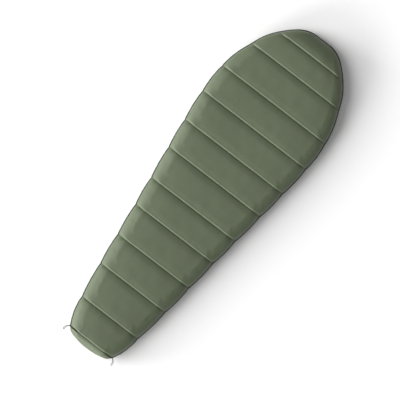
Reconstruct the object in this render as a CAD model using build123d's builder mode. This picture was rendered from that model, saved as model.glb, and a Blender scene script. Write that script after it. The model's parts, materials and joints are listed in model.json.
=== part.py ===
from build123d import *
from math import degrees, pi, sin, sqrt
import os

# Mummy sleeping bag, lying closed on its front with the quilted back up.
# Frame: +X across the bag, +Y from the foot to the head, +Z up, z = 0 on the ground,
# with the origin under the middle of the bag. Below, y is measured from the foot's tip,
# and every piece is shifted by half the length when its sketch planes are placed.

os.makedirs("parts", exist_ok=True)

# ---------------------------------------------------------------- driving dimensions, mm
LENGTH = 2150.0
SEAM_Z = 60.0  # side seam above the ground, which is also how far the front drops
BACK_RISE = 64.0  # side seam to the top of the back
CROWN = 6.0  # extra height of the back along its middle
LAYER = 30.0  # thickness of one quilted layer, shell to lining
FABRIC = 1.2  # shell and lining fabric
SEAM_DIP = 9.0  # how far a cross seam pulls the back in
LAYER_GAP = 0.4  # between fabric and fill, and each side of a cross seam
EDGE_GAP = 0.3  # each side of the side seam's plane

# Cross seams: distance from the foot's tip, half the bag's width there, and how far the
# chamber that follows bulges past a straight side.
CROSS_SEAMS = [
    (44.0, 142.0, 12.0),
    (215.0, 191.0, 5.0),
    (423.0, 222.0, 5.0),
    (609.0, 244.0, 5.0),
    (799.0, 267.0, 5.0),
    (970.0, 289.0, 5.0),
    (1163.0, 315.0, 5.0),
    (1338.0, 337.0, 6.0),
    (1524.0, 356.0, 7.0),
    (1701.0, 355.0, 12.0),
    (1896.0, 300.0, 13.0),
    (2038.0, 221.0, 0.0),
]
# Rounded head end past the last cross seam: distance from the foot's tip, half-width.
HEAD_END = [(2081.0, 180.0), (2117.0, 138.0), (2138.5, 94.0), (2146.8, 56.0)]
HEAD_TIP_RISE_Y = 2148.0  # where the closing curve of the head's height would reach zero
CHAMBER_CUTS = [0.06, 0.2, 0.5, 0.8, 0.94]  # loft stations inside a chamber, as fractions
FOOT_SEAM_Y = CROSS_SEAMS[0][0]
FOOT_HALF_WIDTH = CROSS_SEAMS[0][1]

# Foot end: a domed panel closing the foot seam's oval
FOOT_RISE_UP = BACK_RISE - SEAM_DIP
FOOT_RISE_DOWN = 57.0
FOOT_TIP_CUT = 1.0  # the dome is cut flat this far from its true tip
FOOT_DOME_CUTS = [0.12, 0.35, 0.65]  # loft stations, as fractions of its depth

# Side seam and foot seam binding
BINDING_WIDTH = 3.0
BINDING_HEIGHT = 4.0
FOOT_BINDING_WIDTH = 2.5
FOOT_BINDING_LENGTH = 2.6
FOOT_BINDING_CLEAR = 0.2

# Face opening, in the underside of the hood
FACE_Y = 1795.0
FACE_LENGTH = 290.0
FACE_WIDTH = 230.0
HEM_RADIUS = 6.5
HEM_INSET = 8.0  # channel's centre line inside the opening's edge
HEM_BORE = 2.8
HEM_Z = 14.0
CORD_RADIUS = 2.2
CORD_EXIT_HALF = 16.0  # half the gap in the hem where the cord comes out at the chin

# Cord lock, standing in that gap with the drawcord through it
LOCK_RADIUS = 6.5
LOCK_LOW = 3.0
LOCK_HIGH = 23.0
LOCK_FLOOR = 1.5
LOCK_FILLET = 0.8
PLUNGER_RADIUS = 4.8
PLUNGER_PLAY = 0.08
PLUNGER_LOW = 9.5
PLUNGER_HIGH = 28.0
PLUNGER_TRAVEL = 3.5
PLUNGER_CHAMFER = 0.8
LOCK_HOLE = 2.6
LOCK_SPRING_RADIUS = 3.6
LOCK_SPRING_WIRE = 0.35
LOCK_SPRING_TURNS = 3.0

# Zip: a straight line down the +X side, under the side seam
ZIP_FROM = 2  # index in CROSS_SEAMS of the seam at its foot end
ZIP_TO = 8  # and at its head end
ZIP_INSET = 8.0  # the zip's plane inside the bag's outline
ZIP_Z = 46.0  # centre of the chain
ZIP_END_ROOM = 6.0
TAPE_END = 12.0  # bare tape at the foot end, before the bottom stop
TAPE_WIDTH = 13.0
TAPE_THICKNESS = 0.9
CHAIN_GAP = 0.8  # half the slit between the two rows of coil
COIL_WIDTH = 3.2
COIL_HEIGHT = 2.4
ZIP_SLOT_LOW = 30.0  # top edge of the front layer beside the zip
STOP_LENGTH = 4.0

# Slider and its two pulls
SLIDER_LENGTH = 18.0
SLIDER_HALF_WIDTH = 6.2
SLIDER_PLATE = 1.6
SLIDER_CLEAR = 0.4
SLIDER_WEB = 0.5  # half the web's thickness
SLIDER_WEB_LENGTH = 5.0
SLIDER_FLANGE = 1.7
SLIDER_CORNER = 2.0
BRIDGE_LENGTH = 12.0
BRIDGE_HEIGHT = 4.2
BRIDGE_WALL = 1.2
BRIDGE_WIDTH = 3.0
PULL_PIN_RADIUS = 0.9
PULL_ARM = 1.4
PULL_ARM_AT = 2.2  # inner face of each arm from the middle
PULL_THICKNESS = 1.6
PULL_LENGTH = 32.0
PULL_NECK = 10.0  # pin to the solid plate
PULL_WIDTH = 9.0
PULL_HOLE = 1.8  # radius of the cord hole in its free end
SLIDER_REST_ROOM = 7.0  # slider's head end from the top stops

# Insulated tubes inside
DRAFT_RADIUS = 13.0
DRAFT_BEHIND = 25.0  # zip's plane to the draft tube's centre
COLLAR_RADIUS = 13.0
COLLAR_HALF_LENGTH = 285.0
COLLAR_Y = 1600.0

# Hanging loops at the two corners of the foot seam: narrow tape standing on edge. The
# points are on the line midway between a loop's two legs, (x, y from the foot's tip).
LOOP_TAPE = 1.2
LOOP_WIDTH = 8.0  # over both legs
LOOP_HEIGHT = 10.0
LOOP_LINE = [(151.0, 40.0), (161.5, 30.0), (166.5, 11.0)]


# ---------------------------------------------------------------- shared geometry
def across(y):
    """Upright plane across the bag, y from the foot's tip; its y axis is +Z."""
    return Plane.XZ.offset(LENGTH / 2 - y)


def chamber_half_width(index, part):
    low_y, low_w, bulge = CROSS_SEAMS[index]
    high_y, high_w = (CROSS_SEAMS + HEAD_END)[index + 1][:2]
    return low_w + (high_w - low_w) * part + 4 * bulge * part * (1 - part)


def chamber_stations(index, end_gap=0.0):
    """(y, half-width, seam dip) along one chamber between two cross seams."""
    low_y = CROSS_SEAMS[index][0] + end_gap
    high_y = CROSS_SEAMS[index + 1][0] - end_gap
    for part in [0.0] + CHAMBER_CUTS + [1.0]:
        dip = SEAM_DIP * abs(2 * part - 1) ** 8
        yield low_y + (high_y - low_y) * part, chamber_half_width(index, part), dip


def head_stations():
    for y, half_width in [CROSS_SEAMS[-1][:2]] + HEAD_END:
        yield y, half_width


def head_closing(y):
    """1 at the last cross seam, falling to nearly 0 at the head's tip."""
    seam_y = CROSS_SEAMS[-1][0]
    return sqrt(1 - max(0.0, (y - seam_y) / (HEAD_TIP_RISE_Y - seam_y)) ** 2)


def all_stations(rise, dipped):
    """(y, half-width, rise) for the whole length, foot seam to head tip."""
    found = []
    for index in range(len(CROSS_SEAMS) - 1):
        for y, half_width, dip in chamber_stations(index):
            if not found or y > found[-1][0] + 0.5:
                found.append((y, half_width, rise - dip if dipped else rise))
    seam_rise = found[-1][2]
    for y, half_width in list(head_stations())[1:]:
        found.append((y, half_width, seam_rise * head_closing(y)))
    return found


def half_arch(half_width, rise, side, crown):
    """Side seam to side seam over the back (side 1) or under the front (side -1)."""
    base = SEAM_Z + side * EDGE_GAP
    flat = half_width - rise
    corner = rise * sin(pi / 4)
    far = SEAM_Z + side * rise
    ThreePointArc((half_width, base), (flat + corner, SEAM_Z + side * corner), (flat, far))
    if crown:
        ThreePointArc((flat, far), (0, far + side * crown), (-flat, far))
    else:
        Line((flat, far), (-flat, far))
    ThreePointArc((-flat, far), (-flat - corner, SEAM_Z + side * corner), (-half_width, base))


def band(y, outer, inner, side, crown):
    """One section of a layer, between an outer and an inner (half-width, rise)."""
    base = SEAM_Z + side * EDGE_GAP
    with BuildSketch(across(y)) as section:
        with BuildLine():
            half_arch(*outer, side, crown)
            half_arch(*inner, side, crown)
            Line((outer[0], base), (inner[0], base))
            Line((-outer[0], base), (-inner[0], base))
        make_face()
    return section.sketch


def half_solid(y, half_width, rise, side, crown):
    """One section of a half bag, filled down to the seam's plane."""
    base = SEAM_Z + side * EDGE_GAP
    with BuildSketch(across(y)) as section:
        with BuildLine():
            half_arch(half_width, rise, side, crown)
            Line((half_width, base), (-half_width, base))
        make_face()
    return section.sketch


def cut_face_opening(margin):
    """Takes the face opening, larger by margin all round, out of the part being built."""
    with BuildSketch(Plane.XY.offset(-1)) as opening:
        with Locations((0, FACE_Y - LENGTH / 2)):
            SlotOverall(FACE_LENGTH + 2 * margin, FACE_WIDTH + 2 * margin, rotation=90)
    extrude(opening.sketch, amount=SEAM_Z - LAYER / 2, mode=Mode.SUBTRACT)


def cut_zip_slot(margin):
    """Takes the slot beside the zip out of the front layer being built."""
    low_y = CROSS_SEAMS[ZIP_FROM][0] - margin
    high_y = CROSS_SEAMS[ZIP_TO][0] + margin
    reach = CROSS_SEAMS[ZIP_TO][1] + 2 * LAYER
    with BuildSketch(Plane.XY.offset(ZIP_SLOT_LOW - margin)) as slot:
        with Locations((reach / 2 + LAYER, (low_y + high_y - LENGTH) / 2)):
            Rectangle(reach, high_y - low_y)
    extrude(slot.sketch, amount=SEAM_Z, mode=Mode.SUBTRACT)


def save(piece, name):
    piece.part.label = name
    export_step(piece.part, f"parts/{name}.step")


# ---------------------------------------------------------------- shells
def shell_sections(side, rise, crown, low_y, high_y):
    return [
        band(y, (w, high), (w - FABRIC, high - FABRIC), side, crown)
        for y, w, high in all_stations(rise, side > 0)
        if low_y <= y <= high_y
    ]


with BuildPart() as back_shell:
    loft(shell_sections(1, BACK_RISE, CROWN, 0, LENGTH), ruled=True)
save(back_shell, "back_shell")

# The front is three panels, which meet at the seams where the zip starts and stops.
ZIP_FOOT_Y = CROSS_SEAMS[ZIP_FROM][0]
ZIP_HEAD_Y = CROSS_SEAMS[ZIP_TO][0]

with BuildPart() as front_shell_foot:
    loft(shell_sections(-1, SEAM_Z, 0, 0, ZIP_FOOT_Y), ruled=True)
save(front_shell_foot, "front_shell_foot")

with BuildPart() as front_shell_middle:
    loft(shell_sections(-1, SEAM_Z, 0, ZIP_FOOT_Y, ZIP_HEAD_Y), ruled=True)
    cut_zip_slot(0)
save(front_shell_middle, "front_shell_middle")

with BuildPart() as front_shell_hood:
    loft(shell_sections(-1, SEAM_Z, 0, ZIP_HEAD_Y, LENGTH), ruled=True)
    cut_face_opening(0)
save(front_shell_hood, "front_shell_hood")


# ---------------------------------------------------------------- fill chambers
def layer_fill(index, side, rise, crown):
    """The insulation of one chamber between two cross seams."""
    skin = FABRIC + LAYER_GAP
    deep = LAYER - skin
    sections = []
    for y, w, dip in chamber_stations(index, LAYER_GAP):
        drop = skin + (dip if side > 0 else 0)
        sections.append(band(y, (w - skin, rise - drop), (w - deep, rise - deep), side, crown))
    loft(sections, ruled=True)


def head_fill(side, rise, crown):
    """The insulation past the last cross seam, which closes round the top of the head."""
    skin = FABRIC + LAYER_GAP
    deep = LAYER - skin
    seam_rise = rise - (SEAM_DIP if side > 0 else 0)
    outside = []
    hollow = []
    for y, w in head_stations():
        inside = max(y, CROSS_SEAMS[-1][0] + LAYER_GAP)
        reach = max(seam_rise * head_closing(y) - skin, 3.0)
        inside = min(inside, HEAD_END[-1][0] - skin)
        outside.append(half_solid(inside, w - skin, reach, side, crown))
    for y, w in list(head_stations())[:2]:
        hollow.append(half_solid(y, w - deep, rise * head_closing(y) - deep, side, crown))
    loft(outside, ruled=True)
    loft(hollow, ruled=True, mode=Mode.SUBTRACT)


CHAMBERS = len(CROSS_SEAMS)
for number in range(1, CHAMBERS):
    with BuildPart() as back_fill:
        layer_fill(number - 1, 1, BACK_RISE, CROWN)
    save(back_fill, f"back_fill_{number:02d}")
    with BuildPart() as front_fill:
        layer_fill(number - 1, -1, SEAM_Z, 0)
        if ZIP_FROM < number <= ZIP_TO:
            cut_zip_slot(LAYER_GAP)
        if CROSS_SEAMS[number][0] > FACE_Y - FACE_LENGTH / 2:
            cut_face_opening(LAYER_GAP)
    save(front_fill, f"front_fill_{number:02d}")

with BuildPart() as back_head_fill:
    head_fill(1, BACK_RISE, CROWN)
save(back_head_fill, f"back_fill_{CHAMBERS:02d}")

with BuildPart() as front_head_fill:
    head_fill(-1, SEAM_Z, 0)
save(front_head_fill, f"front_fill_{CHAMBERS:02d}")


# ---------------------------------------------------------------- lining
def lining(side, rise, crown):
    """Lining of one layer, closed at the head end."""
    end_y, end_w = HEAD_END[0]
    end_rise = rise * head_closing(end_y)
    for inset, stop_y, mode in [
        (LAYER - FABRIC, end_y, Mode.ADD),
        (LAYER, end_y - FABRIC, Mode.SUBTRACT),
    ]:
        sections = [
            half_solid(y, w - inset, high - inset, side, crown)
            for y, w, high in all_stations(rise, False)
            if y < end_y
        ]
        sections.append(half_solid(stop_y, end_w - inset, end_rise - inset, side, crown))
        loft(sections, ruled=True, mode=mode)


with BuildPart() as back_liner:
    lining(1, BACK_RISE, CROWN)
save(back_liner, "back_liner")

with BuildPart() as front_liner:
    lining(-1, SEAM_Z, 0)
    cut_face_opening(0)
    cut_zip_slot(0)
save(front_liner, "front_liner")


# ---------------------------------------------------------------- foot end
def cap_reach(half_chord, depth, distance):
    """Half-width of a circular cap, its chord and depth given, this far from its tip."""
    radius = (half_chord**2 + depth**2) / (2 * depth)
    return sqrt(2 * radius * distance - distance**2)


def oval(y, half_width, rise_up, rise_down):
    """Whole section of the bag, back and front halves joined at the side seam."""
    with BuildSketch(across(y)) as section:
        for side, rise in [(1, rise_up), (-1, rise_down)]:
            flat = half_width - rise
            corner = rise * sin(pi / 4)
            far = SEAM_Z + side * rise
            with BuildLine():
                ThreePointArc(
                    (half_width, SEAM_Z), (flat + corner, SEAM_Z + side * corner), (flat, far)
                )
                Line((flat, far), (-flat, far))
                ThreePointArc(
                    (-flat, far), (-flat - corner, SEAM_Z + side * corner), (-half_width, SEAM_Z)
                )
                Line((-half_width, SEAM_Z), (half_width, SEAM_Z))
            make_face()
    return section.sketch


def foot_dome(inset, mode=Mode.ADD, end_y=FOOT_SEAM_Y):
    """The foot end's dome, inset all round; its base is at the foot seam."""
    depth = FOOT_SEAM_Y - inset
    sizes = [FOOT_HALF_WIDTH - inset, FOOT_RISE_UP - inset, FOOT_RISE_DOWN - inset]
    sections = []
    for distance in [FOOT_TIP_CUT] + [depth * part for part in FOOT_DOME_CUTS]:
        reach = [cap_reach(size, depth, distance) for size in sizes]
        place = inset if distance == FOOT_TIP_CUT else inset + distance
        sections.append(oval(place, *reach))
    sections.append(oval(end_y, *sizes))
    loft(sections, ruled=True, mode=mode)


with BuildPart() as foot_end_shell:
    foot_dome(0)
    foot_dome(FABRIC, mode=Mode.SUBTRACT)
save(foot_end_shell, "foot_end_shell")

with BuildPart() as foot_end_fill:
    foot_dome(FABRIC + LAYER_GAP)
    foot_dome(LAYER - FABRIC - LAYER_GAP, mode=Mode.SUBTRACT)
save(foot_end_fill, "foot_end_fill")

with BuildPart() as foot_end_liner:
    foot_dome(LAYER - FABRIC)
    foot_dome(LAYER, mode=Mode.SUBTRACT)
save(foot_end_liner, "foot_end_liner")

with BuildPart() as foot_seam_binding:
    grown = EDGE_GAP + FOOT_BINDING_WIDTH
    outer = oval(
        FOOT_SEAM_Y - FOOT_BINDING_CLEAR,
        FOOT_HALF_WIDTH + grown,
        FOOT_RISE_UP + grown,
        FOOT_RISE_DOWN + grown,
    )
    inner = oval(
        FOOT_SEAM_Y - FOOT_BINDING_CLEAR,
        FOOT_HALF_WIDTH + EDGE_GAP,
        FOOT_RISE_UP + EDGE_GAP,
        FOOT_RISE_DOWN + EDGE_GAP,
    )
    extrude(outer, amount=FOOT_BINDING_LENGTH)
    extrude(inner, amount=FOOT_BINDING_LENGTH, mode=Mode.SUBTRACT)
save(foot_seam_binding, "foot_seam_binding")


# ---------------------------------------------------------------- side seam binding
def seam_outline(grown):
    """The bag's outline at the side seam, grown outwards, closed across the foot seam."""
    right = []
    centre_y = CROSS_SEAMS[-2][0]
    for y, w, _ in all_stations(BACK_RISE, False):
        if y <= CROSS_SEAMS[-1][0]:
            right.append((w + grown, y))
        else:
            reach = sqrt(w**2 + (y - centre_y) ** 2)
            right.append((w + grown * w / reach, y + grown * (y - centre_y) / reach))
    points = right + [(-x, y) for x, y in reversed(right)]
    with BuildSketch(Plane.XY.offset(SEAM_Z - BINDING_HEIGHT / 2)) as outline:
        with BuildLine():
            Polyline([(x, y - LENGTH / 2) for x, y in points], close=True)
        make_face()
    return outline.sketch


with BuildPart() as side_seam_binding:
    extrude(seam_outline(EDGE_GAP + BINDING_WIDTH), amount=BINDING_HEIGHT)
    extrude(seam_outline(EDGE_GAP), amount=BINDING_HEIGHT, mode=Mode.SUBTRACT)
save(side_seam_binding, "side_seam_binding")


# ---------------------------------------------------------------- hood hem and drawcord
HEM_BEND = FACE_WIDTH / 2 - HEM_INSET  # radius of the centre line's round ends
HEM_STRAIGHT = (FACE_LENGTH - FACE_WIDTH) / 2  # half of each straight side
CHIN_Y = FACE_Y - HEM_STRAIGHT - HEM_BEND  # centre line at the chin
CORD_EXIT_ANGLE = degrees(CORD_EXIT_HALF / HEM_BEND)


def hem_line(skipped):
    """Half the hem's centre line, from this angle off the chin round to the crown."""
    with BuildLine(Plane(origin=(0, FACE_Y - LENGTH / 2, HEM_Z))) as line:
        chin = CenterArc((0, -HEM_STRAIGHT), HEM_BEND, skipped - 90, 90 - skipped)
        cheek = Line(chin @ 1, (HEM_BEND, HEM_STRAIGHT))
        CenterArc((0, HEM_STRAIGHT), HEM_BEND, 0, 90)
    return line.line


with BuildPart() as hood_hem:
    half_hem = hem_line(CORD_EXIT_ANGLE)
    with BuildSketch(Plane(origin=half_hem @ 0, z_dir=half_hem % 0)):
        Circle(HEM_RADIUS)
        Circle(HEM_BORE, mode=Mode.SUBTRACT)
    sweep(path=half_hem)
    mirror(about=Plane.YZ)
save(hood_hem, "hood_hem")

with BuildPart() as hood_drawcord:
    half_cord = hem_line(0)
    with BuildSketch(Plane(origin=half_cord @ 0, z_dir=half_cord % 0)):
        Circle(CORD_RADIUS)
    sweep(path=half_cord)
    mirror(about=Plane.YZ)
save(hood_drawcord, "hood_drawcord")

LOCK_AT = (0, CHIN_Y - LENGTH / 2)

with BuildPart() as cord_lock_body:
    with BuildSketch(Plane(origin=(*LOCK_AT, LOCK_LOW))):
        Circle(LOCK_RADIUS)
    extrude(amount=LOCK_HIGH - LOCK_LOW)
    fillet(cord_lock_body.edges().filter_by(GeomType.CIRCLE), radius=LOCK_FILLET)
    with BuildSketch(Plane(origin=(*LOCK_AT, LOCK_LOW + LOCK_FLOOR))):
        Circle(PLUNGER_RADIUS + PLUNGER_PLAY)
    extrude(amount=LOCK_HIGH, mode=Mode.SUBTRACT)
    with BuildSketch(Plane.YZ):
        with Locations((CHIN_Y - LENGTH / 2, HEM_Z)):
            Circle(LOCK_HOLE)
    extrude(amount=LOCK_RADIUS, both=True, mode=Mode.SUBTRACT)
save(cord_lock_body, "cord_lock_body")

with BuildPart() as cord_lock_plunger:
    with BuildSketch(Plane(origin=(*LOCK_AT, PLUNGER_LOW))):
        Circle(PLUNGER_RADIUS)
    extrude(amount=PLUNGER_HIGH - PLUNGER_LOW)
    chamfer(cord_lock_plunger.faces().sort_by(Axis.Z)[-1].edges(), PLUNGER_CHAMFER)
    with BuildSketch(Plane.YZ):
        with Locations((CHIN_Y - LENGTH / 2, HEM_Z + PLUNGER_TRAVEL / 2)):
            SlotOverall(2 * LOCK_HOLE + PLUNGER_TRAVEL, 2 * LOCK_HOLE, rotation=90)
    extrude(amount=LOCK_RADIUS, both=True, mode=Mode.SUBTRACT)
save(cord_lock_plunger, "cord_lock_plunger")

with BuildPart() as cord_lock_spring:
    spring_low = LOCK_LOW + LOCK_FLOOR + LOCK_SPRING_WIRE
    spring_height = PLUNGER_LOW - LOCK_SPRING_WIRE - spring_low
    with BuildLine(Plane(origin=(*LOCK_AT, spring_low))) as coil:
        Helix(
            pitch=spring_height / LOCK_SPRING_TURNS,
            height=spring_height,
            radius=LOCK_SPRING_RADIUS,
        )
    with BuildSketch(Plane(origin=coil.line @ 0, z_dir=coil.line % 0)):
        Circle(LOCK_SPRING_WIRE)
    sweep(path=coil.line, is_frenet=True)
save(cord_lock_spring, "cord_lock_spring")


# ---------------------------------------------------------------- zip
# Zip frame: x along the zip to the head, y up the bag's side, z outwards.
foot_end = Vector(CROSS_SEAMS[ZIP_FROM][1], CROSS_SEAMS[ZIP_FROM][0] - LENGTH / 2, ZIP_Z)
head_end = Vector(CROSS_SEAMS[ZIP_TO][1], CROSS_SEAMS[ZIP_TO][0] - LENGTH / 2, ZIP_Z)
along = (head_end - foot_end).normalized()
outward = Vector(along.Y, -along.X, 0)
ZIP = Plane(origin=foot_end - Vector(ZIP_INSET, 0, 0), x_dir=along, z_dir=outward)
ZIP_LOW = ZIP_END_ROOM
ZIP_HIGH = (head_end - foot_end).length - ZIP_END_ROOM
COIL_LOW = ZIP_LOW + TAPE_END + STOP_LENGTH
COIL_HIGH = ZIP_HIGH - STOP_LENGTH
SLIDER_AT = COIL_HIGH - SLIDER_REST_ROOM - SLIDER_LENGTH / 2
PLATE_LOW = COIL_HEIGHT + SLIDER_CLEAR
PLATE_TOP = PLATE_LOW + SLIDER_PLATE
PIN_HEIGHT = PLATE_TOP + (BRIDGE_HEIGHT - BRIDGE_WALL) / 2


def zip_block(x_low, x_high, y_low, y_high, z_low, z_high, mode=Mode.ADD):
    """A block in the zip's frame."""
    with BuildSketch(ZIP.offset(z_low)) as outline:
        with Locations(((x_low + x_high) / 2, (y_low + y_high) / 2)):
            Rectangle(x_high - x_low, y_high - y_low)
    extrude(outline.sketch, amount=z_high - z_low, mode=mode)


for name, up in [("back", 1), ("front", -1)]:
    edges = sorted([up * CHAIN_GAP, up * (CHAIN_GAP + TAPE_WIDTH)])
    with BuildPart() as tape:
        zip_block(ZIP_LOW, ZIP_HIGH, *edges, -TAPE_THICKNESS, 0)
    save(tape, f"zip_tape_{name}")
    edges = sorted([up * CHAIN_GAP, up * (CHAIN_GAP + COIL_WIDTH)])
    with BuildPart() as coil_row:
        zip_block(COIL_LOW + EDGE_GAP, COIL_HIGH - EDGE_GAP, *edges, 0, COIL_HEIGHT)
    save(coil_row, f"zip_coil_{name}")

with BuildPart() as zip_top_stops:
    for up in [1, -1]:
        edges = sorted([up * CHAIN_GAP, up * (CHAIN_GAP + COIL_WIDTH)])
        zip_block(COIL_HIGH, ZIP_HIGH, *edges, 0, COIL_HEIGHT)
save(zip_top_stops, "zip_top_stops")

with BuildPart() as zip_bottom_stop:
    reach = CHAIN_GAP + COIL_WIDTH
    zip_block(COIL_LOW - STOP_LENGTH, COIL_LOW, -reach, reach, 0, COIL_HEIGHT)
save(zip_bottom_stop, "zip_bottom_stop")

with BuildPart() as zip_slider:
    tail = SLIDER_AT - SLIDER_LENGTH / 2
    nose = SLIDER_AT + SLIDER_LENGTH / 2
    under = -TAPE_THICKNESS - SLIDER_CLEAR
    rail_in = SLIDER_HALF_WIDTH - SLIDER_FLANGE
    zip_block(tail, nose, -SLIDER_HALF_WIDTH, SLIDER_HALF_WIDTH, PLATE_LOW, PLATE_TOP)
    zip_block(tail, nose, -SLIDER_HALF_WIDTH, SLIDER_HALF_WIDTH, under - SLIDER_PLATE, under)
    plates = zip_slider.edges().filter_by(lambda edge: abs((edge % 0).dot(outward)) > 0.99)
    fillet(plates, radius=SLIDER_CORNER)
    for up in [1, -1]:
        edges = sorted([up * rail_in, up * SLIDER_HALF_WIDTH])
        zip_block(tail + SLIDER_CORNER, nose - SLIDER_CORNER, *edges, SLIDER_CLEAR, PLATE_LOW)
    zip_block(nose - SLIDER_WEB_LENGTH, nose, -SLIDER_WEB, SLIDER_WEB, under, PLATE_LOW)
    low = SLIDER_AT - BRIDGE_LENGTH / 2
    high = SLIDER_AT + BRIDGE_LENGTH / 2
    side = BRIDGE_WIDTH / 2
    top = PLATE_TOP + BRIDGE_HEIGHT
    zip_block(low, low + BRIDGE_WALL, -side, side, PLATE_TOP, top)
    zip_block(high - BRIDGE_WALL, high, -side, side, PLATE_TOP, top)
    zip_block(low, high, -side, side, top - BRIDGE_WALL, top)
save(zip_slider, "zip_slider")

with BuildPart() as zip_pull:
    half_thick = PULL_THICKNESS / 2
    for up in [1, -1]:
        edges = sorted([up * PULL_ARM_AT, up * (PULL_ARM_AT + PULL_ARM)])
        zip_block(
            SLIDER_AT - PULL_NECK - PULL_ARM,
            SLIDER_AT + PULL_PIN_RADIUS,
            *edges,
            PIN_HEIGHT - half_thick,
            PIN_HEIGHT + half_thick,
        )
    arm_out = PULL_ARM_AT + PULL_ARM
    pin_centre = ZIP.from_local_coords((SLIDER_AT, 0, PIN_HEIGHT))
    with BuildSketch(Plane(origin=pin_centre, z_dir=(0, 0, 1))):
        Circle(PULL_PIN_RADIUS)
    extrude(amount=arm_out, both=True)
    plate_length = PULL_LENGTH - PULL_NECK
    with BuildSketch(ZIP.offset(PIN_HEIGHT - half_thick)):
        with Locations((SLIDER_AT - PULL_NECK - plate_length / 2, 0)):
            SlotOverall(plate_length, PULL_WIDTH)
        with Locations((SLIDER_AT - PULL_LENGTH + PULL_WIDTH / 2, 0)):
            Circle(PULL_HOLE, mode=Mode.SUBTRACT)
    extrude(amount=PULL_THICKNESS)
save(zip_pull, "zip_pull")

with BuildPart() as zip_draft_tube:
    foot = ZIP.from_local_coords((ZIP_LOW, 0, -DRAFT_BEHIND))
    with BuildSketch(Plane(origin=foot, z_dir=along)):
        Circle(DRAFT_RADIUS)
    extrude(amount=ZIP_HIGH - ZIP_LOW)
save(zip_draft_tube, "zip_draft_tube")

with BuildPart() as neck_collar:
    collar_z = LAYER + COLLAR_RADIUS + LAYER_GAP
    with BuildSketch(Plane(origin=(0, COLLAR_Y - LENGTH / 2, collar_z), z_dir=(1, 0, 0))):
        Circle(COLLAR_RADIUS)
    extrude(amount=COLLAR_HALF_LENGTH, both=True)
    ends = neck_collar.edges().filter_by(GeomType.CIRCLE)
    fillet(ends, radius=COLLAR_RADIUS / 2)
save(neck_collar, "neck_collar")


# ---------------------------------------------------------------- hanging loops
for name, side in [("left", -1), ("right", 1)]:
    legs = ThreePointArc(*[(side * x, y - LENGTH / 2) for x, y in LOOP_LINE])
    with BuildPart() as hanging_loop:
        with BuildSketch(Plane.XY.offset(SEAM_Z - LOOP_HEIGHT / 2)):
            SlotArc(legs, LOOP_WIDTH)
            SlotArc(legs, LOOP_WIDTH - 2 * LOOP_TAPE, mode=Mode.SUBTRACT)
        extrude(amount=LOOP_HEIGHT)
    save(hanging_loop, f"hanging_loop_{name}")


# ---------------------------------------------------------------- figures for the record
print("zip along", along, "outward", outward)
print("slider centre", ZIP.from_local_coords((SLIDER_AT, 0, 0)))
print("slider travel", SLIDER_AT - SLIDER_LENGTH / 2 - COIL_LOW - SLIDER_REST_ROOM)
print("pull pin", pin_centre)
print("chin", CHIN_Y - LENGTH / 2)
print("drawcord length", 2 * sum(edge.length for edge in hem_line(0).edges()))
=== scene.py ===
import json
import math

import bpy
import numpy as np
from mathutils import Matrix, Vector


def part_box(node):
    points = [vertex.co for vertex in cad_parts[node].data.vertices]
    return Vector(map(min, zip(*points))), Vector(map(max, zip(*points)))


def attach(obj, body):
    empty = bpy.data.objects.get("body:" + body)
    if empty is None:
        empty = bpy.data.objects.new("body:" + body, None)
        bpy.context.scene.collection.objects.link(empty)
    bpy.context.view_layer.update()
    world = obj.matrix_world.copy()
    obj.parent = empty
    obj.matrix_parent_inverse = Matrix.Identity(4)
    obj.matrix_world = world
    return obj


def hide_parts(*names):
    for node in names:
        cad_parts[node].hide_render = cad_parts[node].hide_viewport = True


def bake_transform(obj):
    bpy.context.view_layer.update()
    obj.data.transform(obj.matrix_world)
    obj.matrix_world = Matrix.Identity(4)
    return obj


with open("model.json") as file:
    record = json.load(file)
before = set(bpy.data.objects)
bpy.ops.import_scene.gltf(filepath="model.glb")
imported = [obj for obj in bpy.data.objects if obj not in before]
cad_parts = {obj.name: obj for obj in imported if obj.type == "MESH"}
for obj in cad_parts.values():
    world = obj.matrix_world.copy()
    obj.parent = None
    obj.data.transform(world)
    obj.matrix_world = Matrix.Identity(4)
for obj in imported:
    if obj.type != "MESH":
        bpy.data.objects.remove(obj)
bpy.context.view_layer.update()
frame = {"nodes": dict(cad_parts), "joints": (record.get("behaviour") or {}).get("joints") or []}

# ------------------------------ camera
# Straight down on the bag's back, with the head to the upper right.
CAMERA_TURN = math.radians(37.6)
CAMERA_LENS = 400.0
CAMERA_SENSOR = 36.0
VIEW_WIDTH = 2.216  # metres across the frame at the height of the side seam
VIEW_CENTRE = (-0.002, -0.0405)


def box_middle(node):
    low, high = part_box(node)
    return (low + high) / 2


SEAM_Z = box_middle("side_seam_binding").z


def make_camera():
    data = bpy.data.cameras.new("camera")
    data.lens = CAMERA_LENS
    data.sensor_width = CAMERA_SENSOR
    camera = bpy.data.objects.new("camera", data)
    bpy.context.scene.collection.objects.link(camera)
    distance = VIEW_WIDTH * CAMERA_LENS / CAMERA_SENSOR
    camera.location = (*VIEW_CENTRE, SEAM_Z + distance)
    camera.rotation_euler = (0, 0, CAMERA_TURN)
    bpy.context.scene.camera = camera


make_camera()

# ------------------------------ sizes from the frame
FABRIC = 0.0012
CROWN = 0.006  # how much higher the back is along its middle than beside it
BACK_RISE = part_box("back_shell")[1].z - SEAM_Z - CROWN
FRONT_DROP = SEAM_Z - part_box("front_shell_middle")[0].z
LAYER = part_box("front_liner")[0].z + FABRIC
CHAMBERS = 12
FOOT_SEAM_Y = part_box("foot_seam_binding")[1].y
FOOT_TIP_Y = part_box("foot_end_shell")[0].y
HEAD_TIP_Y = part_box("back_shell")[1].y
FOOT_HALF_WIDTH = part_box("foot_end_shell")[1].x
FOOT_RISE_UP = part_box("foot_end_shell")[1].z - SEAM_Z
FOOT_RISE_DOWN = SEAM_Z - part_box("foot_end_shell")[0].z
ZIP_EDGE_Z = 0.030  # top of the front layer beside the zip


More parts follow.
